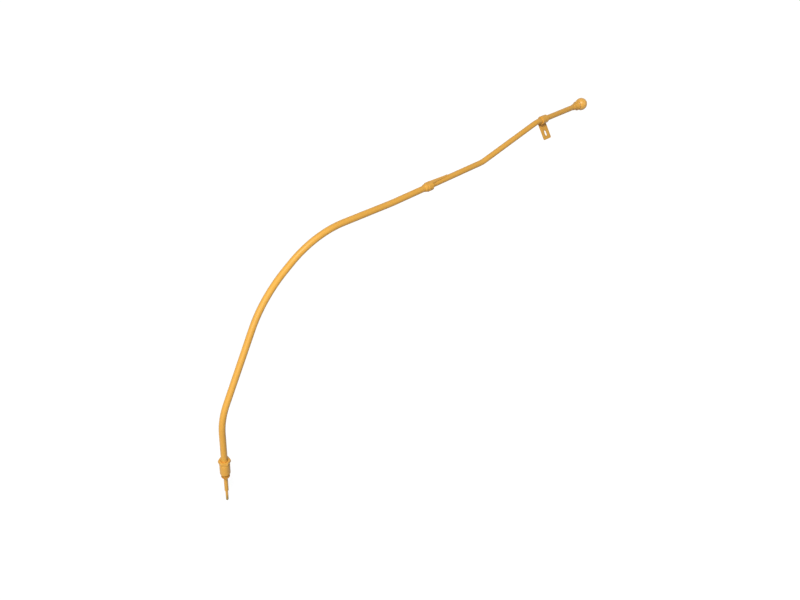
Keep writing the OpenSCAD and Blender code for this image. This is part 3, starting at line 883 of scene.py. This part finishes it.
def bead_tree():
    """A weld bead along a path: round in section, rippled where each drop froze."""
    tree = bpy.data.node_groups.new("weld bead", "GeometryNodeTree")
    taken, out = inputs_of(tree, {
        "Radius": "Float", "Ripple": "Float", "Pitch": "Float", "Finish": "Material",
    })
    link = tree.links.new
    path = shape_node(tree, "MeshToCurve")
    fine = shape_node(tree, "ResampleCurve")
    fine.mode = "LENGTH"
    fine.inputs["Length"].default_value = MM * 0.2
    along = shape_node(tree, "SplineParameter")
    phase = add(tree, "Math", operation="DIVIDE")
    wave = add(tree, "Math", operation="PINGPONG")
    wave.inputs[1].default_value = 0.5
    swell = add(tree, "Math", operation="MULTIPLY_ADD")
    end = add(tree, "MapRange", interpolation_type="SMOOTHSTEP", from_max=0.06, to_min=0.35)
    closeness = add(tree, "Math", operation="PINGPONG")
    closeness.inputs[1].default_value = 0.5
    whole = add(tree, "Math", operation="MULTIPLY")
    size = shape_node(tree, "SetCurveRadius")
    ring = shape_node(tree, "CurvePrimitiveCircle")
    ring.inputs["Resolution"].default_value = 20
    ring.inputs["Radius"].default_value = 1
    skin = shape_node(tree, "CurveToMesh")
    skin.inputs["Fill Caps"].default_value = True
    link(taken.outputs["Geometry"], path.inputs["Mesh"])
    link(path.outputs["Curve"], fine.inputs["Curve"])
    link(along.outputs["Length"], phase.inputs[0])
    link(taken.outputs["Pitch"], phase.inputs[1])
    link(phase.outputs["Value"], wave.inputs[0])
    link(wave.outputs["Value"], swell.inputs[0])
    link(taken.outputs["Ripple"], swell.inputs[1])
    link(taken.outputs["Radius"], swell.inputs[2])
    link(along.outputs["Factor"], closeness.inputs[0])
    link(closeness.outputs["Value"], end.inputs["Value"])
    link(swell.outputs["Value"], whole.inputs[0])
    link(end.outputs["Result"], whole.inputs[1])
    link(fine.outputs["Curve"], size.inputs["Curve"])
    link(whole.outputs["Value"], size.inputs["Radius"])
    link(size.outputs["Curve"], skin.inputs["Curve"])
    link(whole.outputs["Value"], skin.inputs["Scale"])
    link(ring.outputs["Curve"], skin.inputs["Profile Curve"])
    close_tree(tree, taken, skin.outputs["Mesh"], out)
    return tree


BEAD = bead_tree()
weld_place = on_leg(MOUTH_LEG, BRACKET_AT) @ Matrix.Rotation(radians(-PLATE_LEAN), 4, "Z")
WELD_R, WELD_RIPPLE, WELD_PITCH = 1.15, 0.3, 1.5
WELD_INSET = 1.2
for name, across, lift in (("plate_weld_long", -5.2, 0.55), ("plate_weld_short", 3.6, 0.25)):
    bead_line = [(across, -SLEEVE_R + lift, z) for z in (WELD_INSET, SLEEVE_L / 2, SLEEVE_L - WELD_INSET)]
    bead = edge_path(name, bead_line, weld_place)
    grow(bead, BEAD, radius=MM * WELD_R, ripple=MM * WELD_RIPPLE, pitch=MM * WELD_PITCH, finish=amber_paint)
    settle(bead, sharp=70)
    fit(bead, "paint")

# ---------------------------------------------------------------------------
# Mouth funnel
# Turned steel cup brazed on the end of the upper tube. It flares from the tube
# to a square rim and guides the gauge in.

NECK_R, TOP_R, RIM_R, RIM_H = 8.5, 12, 12.8, 2.5
MOUTH_R = 9
mouth_place = on_leg(MOUTH_LEG, funnel_start)
flare_l = FUNNEL_L - RIM_H
flare = [(NECK_R + (TOP_R - NECK_R) * (1 - cos(radians(4.5 * k))), flare_l * k / 20) for k in range(21)]
land = FUNNEL_SOCKET + 1
rim_edge = softened([
    (TOP_R, flare_l), (RIM_R - EDGE / 2, flare_l), (RIM_R, flare_l + EDGE / 2), (RIM_R, FUNNEL_L - EDGE / 2),
    (RIM_R - EDGE / 2, FUNNEL_L), (MOUTH_R, FUNNEL_L), (UPPER_TUBE_R - TUBE_WALL, land),
], 0.3)
funnel = turned("funnel_mouth", flare[:-1] + rim_edge + [
    (UPPER_TUBE_R - TUBE_WALL, FUNNEL_SOCKET), (UPPER_TUBE_R + BRAZE_GAP, FUNNEL_SOCKET),
    (UPPER_TUBE_R + BRAZE_GAP, 0),
], mouth_place, amber_paint)
fit(funnel, "paint", "mouth_funnel")
braze_fillet("funnel_braze", UPPER_TUBE_R, UPPER_FILLET, mouth_place, backward=True)

# ---------------------------------------------------------------------------
# Gauge tip
# Steel rod with a round nose and two ring marks for the oil level, crimped on
# the lower end of the cable. Its paint is mixed darker towards the nose.

TIP_R = 3.3
TIP_L = 86
TIP_REACH = 105.5
MARK_DEPTH = 0.3
MARK_W = 0.8
LOW_MARK, HIGH_MARK = 12, 24
# Where the tip's darkening fades out, and the dark olive tone it is mixed to at the nose
NOSE_DARK_TOP = -78
NOSE_DARK_TONE = (0.22, 0.17, 0.035)
CRIMP_DEPTH = 14
CABLE_R = 2
# A copy of the amber paint that is mixed darker towards the nose of the tip and fades out higher up the rod
oiled_paint, nose_dark_tree, nose_dark_shader, nose_dark_film = film_finish("oiled_paint", AMBER, AMBER_THIN, 0.4, 0.07)
nose_dark_where = add(nose_dark_tree, "TexCoord")
nose_dark_height = add(nose_dark_tree, "SeparateXYZ")
nose_dark_level = add(
    nose_dark_tree, "MapRange", from_min=-MM * TIP_REACH, from_max=MM * NOSE_DARK_TOP, to_min=1, to_max=0,
)
nose_dark_mix = add(nose_dark_tree, "Mix", data_type="RGBA")
nose_dark_mix.inputs["B"].default_value = (*NOSE_DARK_TONE, 1)
nose_dark_tree.links.new(nose_dark_where.outputs["Object"], nose_dark_height.inputs["Vector"])
nose_dark_tree.links.new(nose_dark_height.outputs["Z"], nose_dark_level.inputs["Value"])
nose_dark_tree.links.new(nose_dark_level.outputs["Result"], nose_dark_mix.inputs["Factor"])
nose_dark_tree.links.new(nose_dark_film.outputs["Colour"], nose_dark_mix.inputs["A"])
nose_dark_tree.links.new(nose_dark_mix.outputs["Result"], nose_dark_shader.inputs["Base Color"])

nose = [(TIP_R * sin(radians(7.5 * k)), TIP_R - TIP_R * cos(radians(7.5 * k))) for k in range(12)]
rod = [(TIP_R, TIP_R)]
for mark in (LOW_MARK, HIGH_MARK):
    rod += [(TIP_R, mark), (TIP_R - MARK_DEPTH, mark + 0.05), (TIP_R - MARK_DEPTH, mark + MARK_W - 0.05),
            (TIP_R, mark + MARK_W)]
rod += [(TIP_R, TIP_L - 0.4), (TIP_R - 0.4, TIP_L), (CABLE_R + PRESS_GAP, TIP_L),
        (CABLE_R + PRESS_GAP, TIP_L - CRIMP_DEPTH), (0, TIP_L - CRIMP_DEPTH)]
tip = turned("dip_tip", nose + rod, Matrix.Translation((0, 0, -TIP_REACH)), oiled_paint, sides=48)
fit(tip, "paint", "gauge_tip")

# ---------------------------------------------------------------------------
# Gauge cable
# Flexible steel cable, six strands laid round a core, that runs the whole way
# inside the tubes and bends with them.


def strand_tree():
    """A lobed section, one lobe a strand, twisted steadily along a path."""
    tree = bpy.data.node_groups.new("laid strands", "GeometryNodeTree")
    taken, out = inputs_of(tree, {
        "Radius": "Float", "Lay": "Float", "Strands": "Float", "Finish": "Material",
    })
    link = tree.links.new
    path = shape_node(tree, "MeshToCurve")
    fine = shape_node(tree, "ResampleCurve")
    fine.mode = "LENGTH"
    fine.inputs["Length"].default_value = MM * 2
    along = shape_node(tree, "SplineParameter")
    turns = add(tree, "Math", operation="DIVIDE")
    twist = add(tree, "Math", operation="MULTIPLY")
    twist.inputs[1].default_value = 2 * pi
    tilt = shape_node(tree, "SetCurveTilt")
    ring = shape_node(tree, "CurvePrimitiveCircle")
    ring.inputs["Resolution"].default_value = 36
    ring.inputs["Radius"].default_value = 1
    place = shape_node(tree, "SetPosition")
    spot = shape_node(tree, "InputPosition")
    round_at = shape_node(tree, "SplineParameter")
    lobe = add(tree, "Math", operation="MULTIPLY")
    angle = add(tree, "Math", operation="MULTIPLY")
    angle.inputs[1].default_value = pi
    bulge = add(tree, "Math", operation="SINE")
    whole = add(tree, "Math", operation="ABSOLUTE")
    reach = add(tree, "MapRange", to_min=0.78, to_max=1)
    size = add(tree, "Math", operation="MULTIPLY")
    scaled = add(tree, "VectorMath", operation="SCALE")
    skin = shape_node(tree, "CurveToMesh")
    skin.inputs["Fill Caps"].default_value = True
    link(taken.outputs["Geometry"], path.inputs["Mesh"])
    link(path.outputs["Curve"], fine.inputs["Curve"])
    link(along.outputs["Length"], turns.inputs[0])
    link(taken.outputs["Lay"], turns.inputs[1])
    link(turns.outputs["Value"], twist.inputs[0])
    link(fine.outputs["Curve"], tilt.inputs["Curve"])
    link(twist.outputs["Value"], tilt.inputs["Tilt"])
    link(round_at.outputs["Factor"], lobe.inputs[0])
    link(taken.outputs["Strands"], lobe.inputs[1])
    link(lobe.outputs["Value"], angle.inputs[0])
    link(angle.outputs["Value"], bulge.inputs[0])
    link(bulge.outputs["Value"], whole.inputs[0])
    link(whole.outputs["Value"], reach.inputs["Value"])
    link(reach.outputs["Result"], size.inputs[0])
    link(taken.outputs["Radius"], size.inputs[1])
    link(spot.outputs["Position"], scaled.inputs["Vector"])
    link(size.outputs["Value"], scaled.inputs["Scale"])
    link(ring.outputs["Curve"], place.inputs["Geometry"])
    link(scaled.outputs["Vector"], place.inputs["Position"])
    link(tilt.outputs["Curve"], skin.inputs["Curve"])
    link(place.outputs["Geometry"], skin.inputs["Profile Curve"])
    close_tree(tree, taken, skin.outputs["Mesh"], out)
    return tree


steel_finish = metal_finish("turned_steel", (0.62, 0.62, 0.64), (0.45, 0.45, 0.47), 0.32, (90, 900, 90))
PLUG_L = 46
CABLE_LAY = 28
plug_start = RUNS[MOUTH_LEG] - PLUG_L
cable = edge_path("dip_cable", route_points(
    0, TIP_L - TIP_REACH - CRIMP_DEPTH + PRESS_GAP, MOUTH_LEG, plug_start + CRIMP_DEPTH - PRESS_GAP,
))
grow(cable, strand_tree(), radius=MM * CABLE_R, lay=MM * CABLE_LAY, strands=6.0, finish=steel_finish)
settle(cable, sharp=75)
fit(cable, "steel", "gauge_cable")

# ---------------------------------------------------------------------------
# Knob plug
# Turned steel plug, crimped on the cable and screwed into the ball. Its shank
# has two grooves for rubber rings.

MOUTH_SEAL_T = 1
FLANGE_TOP = 3
NECK_OUT = 10.5
STUD_R = 5
STUD_L = 16
SHANK_R = 5.85
SHANK_L = 30
STEM_R = 4
RING_D = 1.6
SHANK_TAPER = 8
LOW_RING_AT, HIGH_RING_AT = 23, 15
knob_place = on_leg(MOUTH_LEG, RUNS[MOUTH_LEG])
groove_r = UPPER_TUBE_R - TUBE_WALL - RING_D
shank = []
for ring_at in (LOW_RING_AT, HIGH_RING_AT):
    shank += [(SHANK_R, -ring_at - 0.6 * RING_D), (groove_r, -ring_at - 0.6 * RING_D),
              (groove_r, -ring_at + 0.6 * RING_D), (SHANK_R, -ring_at + 0.6 * RING_D)]
plug = turned("knob_stopper", softened([
    (0, CRIMP_DEPTH - PLUG_L), (CABLE_R + PRESS_GAP, CRIMP_DEPTH - PLUG_L), (CABLE_R + PRESS_GAP, -PLUG_L),
    (STEM_R - EDGE / 2, -PLUG_L), (STEM_R, EDGE / 2 - PLUG_L), (STEM_R, -SHANK_L - EDGE),
    (SHANK_R - EDGE, -SHANK_L - EDGE), (SHANK_R, -SHANK_L), *shank, (SHANK_R, -SHANK_TAPER),
    (MOUTH_R - 1 - SLIP_GAP, 0), (MOUTH_R - 1 - SLIP_GAP, MOUTH_SEAL_T), (NECK_OUT, MOUTH_SEAL_T),
    (NECK_OUT, FLANGE_TOP), (STUD_R, FLANGE_TOP), (STUD_R, FLANGE_TOP + STUD_L - EDGE),
    (STUD_R - EDGE, FLANGE_TOP + STUD_L), (0, FLANGE_TOP + STUD_L),
], 0.15), knob_place, steel_finish)
fit(plug, "steel", "knob_plug")

# ---------------------------------------------------------------------------
# Plug rings
# Two moulded rubber rings, rolled into the grooves of the plug's shank. They
# grip the bore of the tube, so that the gauge doesn't shake out.

for name, ring_at, node in (
    ("stopper_ring_1", HIGH_RING_AT, "plug_ring_upper"), ("stopper_ring_2", LOW_RING_AT, "plug_ring_lower"),
):
    middle = UPPER_TUBE_R - TUBE_WALL - RING_D / 2
    section = arc((middle, -ring_at), RING_D / 2 - PRESS_GAP, 0, 360, 20)[:-1]
    fit(turned(name, section, knob_place, rubber_finish), "rubber", node)

# ---------------------------------------------------------------------------
# Mouth seal
# Flat rubber ring under the plug's flange. The flange squeezes it on the
# funnel's rim, which keeps dirt out of the tube.

seal_ring(
    "funnel_washer", MOUTH_R - 1, NECK_OUT, MOUTH_SEAL_T - 2 * PRESS_GAP,
    on_leg(MOUTH_LEG, RUNS[MOUTH_LEG] + PRESS_GAP), "mouth_seal",
)

# ---------------------------------------------------------------------------
# Ball knob
# Moulded ball handle on a short neck, screwed down on the plug's stud and
# painted with the rest. Its colour here is mixed lighter than the rest, as painted light on its upturned top.

BALL_R = 17.5
BALL_RISE = 21
# A lighter copy of the amber paint: painted light that stands for the lamp on the ball's brightly lit top
BALL_LIT_AMBER = (0.84, 0.43, 0.065)
ball_paint, _, ball_lit_shader, _ = film_finish("ball_paint", BALL_LIT_AMBER, AMBER, 0.34, 0.05)
ball_lit_shader.inputs["Specular IOR Level"].default_value = 0.45
ball_lit_shader.inputs["Coat Weight"].default_value = 0.2
ball_lit_shader.inputs["Coat Roughness"].default_value = 0.2
low_angle = -90 + 36.87  # where the ball meets its neck
surface = [
    (BALL_R * cos(radians(a)), BALL_RISE + BALL_R * sin(radians(a)))
    for a in (low_angle + (90 - low_angle) * k / 56 for k in range(57))
]
surface[-1] = (0, BALL_RISE + BALL_R)
foot = FLANGE_TOP + PRESS_GAP
socket_top = FLANGE_TOP + STUD_L + SLIP_GAP
ball = turned("ball_handle", surface + [
    (0, socket_top), (STUD_R + BRAZE_GAP, socket_top), (STUD_R + BRAZE_GAP, foot), (NECK_OUT - 0.3, foot),
    (NECK_OUT, foot + 0.3),
], knob_place, ball_paint, sides=128)
fit(ball, "knob", "ball_knob")

# ---------------------------------------------------------------------------
# Floor, light and camera
# A plain white floor under the tip, an even white sky, four soft lamps,
# and the camera where the photograph was taken.

floor_mesh = bpy.data.meshes.new("floor")
FLOOR_GAP = 0.0005
FLOOR_HALF = 12
# The floor glows a little less near the part, so that it keeps a trace of the shadow
WHITE_FROM, WHITE_AT = 0.9, 2
NEAR_GLOW = 0.91
floor_z = cad_box[0][2] - FLOOR_GAP
floor_corners = [(x * FLOOR_HALF, y * FLOOR_HALF, floor_z) for x, y in ((-1, -1), (1, -1), (1, 1), (-1, 1))]
floor_mesh.from_pydata(floor_corners, [], [(0, 1, 2, 3)])
floor = stand("floor", floor_mesh)


def seen_directly(tree):
    """1 where a ray comes from the camera, a reflection or a view through glass."""
    rays = add(tree, "LightPath")
    first = add(tree, "Math", operation="MAXIMUM")
    second = add(tree, "Math", operation="MAXIMUM")
    tree.links.new(rays.outputs["Is Camera Ray"], first.inputs[0])
    tree.links.new(rays.outputs["Is Glossy Ray"], first.inputs[1])
    tree.links.new(first.outputs["Value"], second.inputs[0])
    tree.links.new(rays.outputs["Is Transmission Ray"], second.inputs[1])
    return second.outputs["Value"]


floor_finish, floor_tree, floor_shader = new_finish("white_floor", (0.15, 0.15, 0.15), 0, 0.9)
floor_shader.inputs["Specular IOR Level"].default_value = 0
floor_shader.inputs["Emission Color"].default_value = (1, 1, 1, 1)
floor_glow = add(floor_tree, "Math", operation="MULTIPLY")
floor_place = add(floor_tree, "TexCoord")
floor_way = add(floor_tree, "VectorMath", operation="LENGTH")
floor_level = add(
    floor_tree, "MapRange", from_min=WHITE_FROM, from_max=WHITE_AT, to_min=NEAR_GLOW, to_max=1,
)
floor_tree.links.new(floor_place.outputs["Object"], floor_way.inputs[0])
floor_tree.links.new(floor_way.outputs["Value"], floor_level.inputs["Value"])
floor_tree.links.new(floor_level.outputs["Result"], floor_glow.inputs[1])
floor_tree.links.new(seen_directly(floor_tree), floor_glow.inputs[0])
floor_tree.links.new(floor_glow.outputs["Value"], floor_shader.inputs["Emission Strength"])
floor_mesh.materials.append(floor_finish)

world = bpy.data.worlds.new("white_sky")
world.use_nodes = True
bpy.context.scene.world = world
sky = world.node_tree.nodes["Background"]
sky.inputs["Color"].default_value = (1, 1, 1, 1)
sky_level = add(world.node_tree, "MapRange", to_min=0.2, to_max=1)
world.node_tree.links.new(seen_directly(world.node_tree), sky_level.inputs["Value"])
world.node_tree.links.new(sky_level.outputs["Result"], sky.inputs["Strength"])


def lamp(name, place, target, size, power):
    light = bpy.data.lights.new(name, "AREA")
    light.shape = "DISK"
    light.size = size
    light.energy = power
    holder = stand(name, light)
    holder.location = place
    holder.rotation_euler = (Vector(target) - Vector(place)).to_track_quat("-Z", "Y").to_euler()


middle_of_part = (0.55, 0, 0.5)
lamp("key_lamp", (-0.85, -1.15, 3.05), middle_of_part, 0.8, 72)
lamp("fill_lamp", (1.6, -2.6, 2.0), middle_of_part, 1.2, 5)
lamp("low_lamp", (-1.6, -1.15, 0.4), (0.1, 0, 0.1), 0.6, 16)
lamp("side_lamp", (-2.4, -0.7, 1.3), (0.8, 0, 0.6), 0.6, 19)

camera_data = bpy.data.cameras.new("camera")
camera_data.sensor_width = 36
camera_data.lens = 31.5
camera_data.clip_end = 60
camera = stand("camera", camera_data)
view_down = 35.69
view_toward = 43.39
view_roll = 6.63
camera_at = (-0.5632, -1.0582, 1.4023)
sight = Vector((
    cos(radians(view_down)) * cos(radians(view_toward)),
    cos(radians(view_down)) * sin(radians(view_toward)),
    -sin(radians(view_down)),
))
camera.matrix_world = (
    Matrix.Translation(camera_at)
    @ sight.to_track_quat("-Z", "Y").to_matrix().to_4x4()
    @ Matrix.Rotation(radians(view_roll), 4, "Z")
)
bpy.context.scene.camera = camera
bpy.context.scene.view_settings.view_transform = "Standard"
